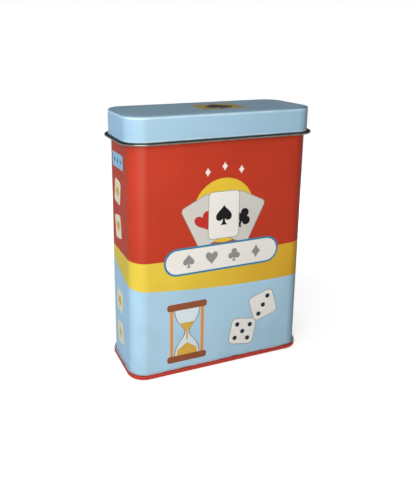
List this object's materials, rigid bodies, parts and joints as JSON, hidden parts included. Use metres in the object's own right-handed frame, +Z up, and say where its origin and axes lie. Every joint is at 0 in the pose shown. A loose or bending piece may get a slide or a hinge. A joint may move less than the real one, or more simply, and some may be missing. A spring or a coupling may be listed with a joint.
{
  "type": "card game tin",
  "caption": "Tall rectangular tinplate box with rounded corners, a seamed base and a drawn cap lid that swings on a wire hinge at the back.",
  "frame": {"origin": "middle of the footprint, on the surface the tin stands on", "axes": "+X to the right and -Y to the front as one looks at the wide front face, +Z up; the hinge is on the +Y side"},
  "size_m": [0.09, 0.039, 0.117],
  "materials": {
    "printed_body": "gloss print on tinplate, bare tin inside",
    "red_base": "gloss",
    "blue_lid": "gloss print on tinplate, bare tin inside and on the curl",
    "steel_wire": "drawn"
  },
  "bodies": {
    "tin_body": {"body_shell": "printed_body", "base_panel": "red_base"},
    "lid": {"lid_shell": "blue_lid", "hinge_wire": "steel_wire"}
  },
  "joints": [
    {"name": "lid_hinge", "type": "hinge", "parent": "tin_body", "child": "lid", "pos_m": [0, 0.01875, 0.1056], "axis": [-1, 0, 0], "range_deg": [0, 194]}
  ]
}
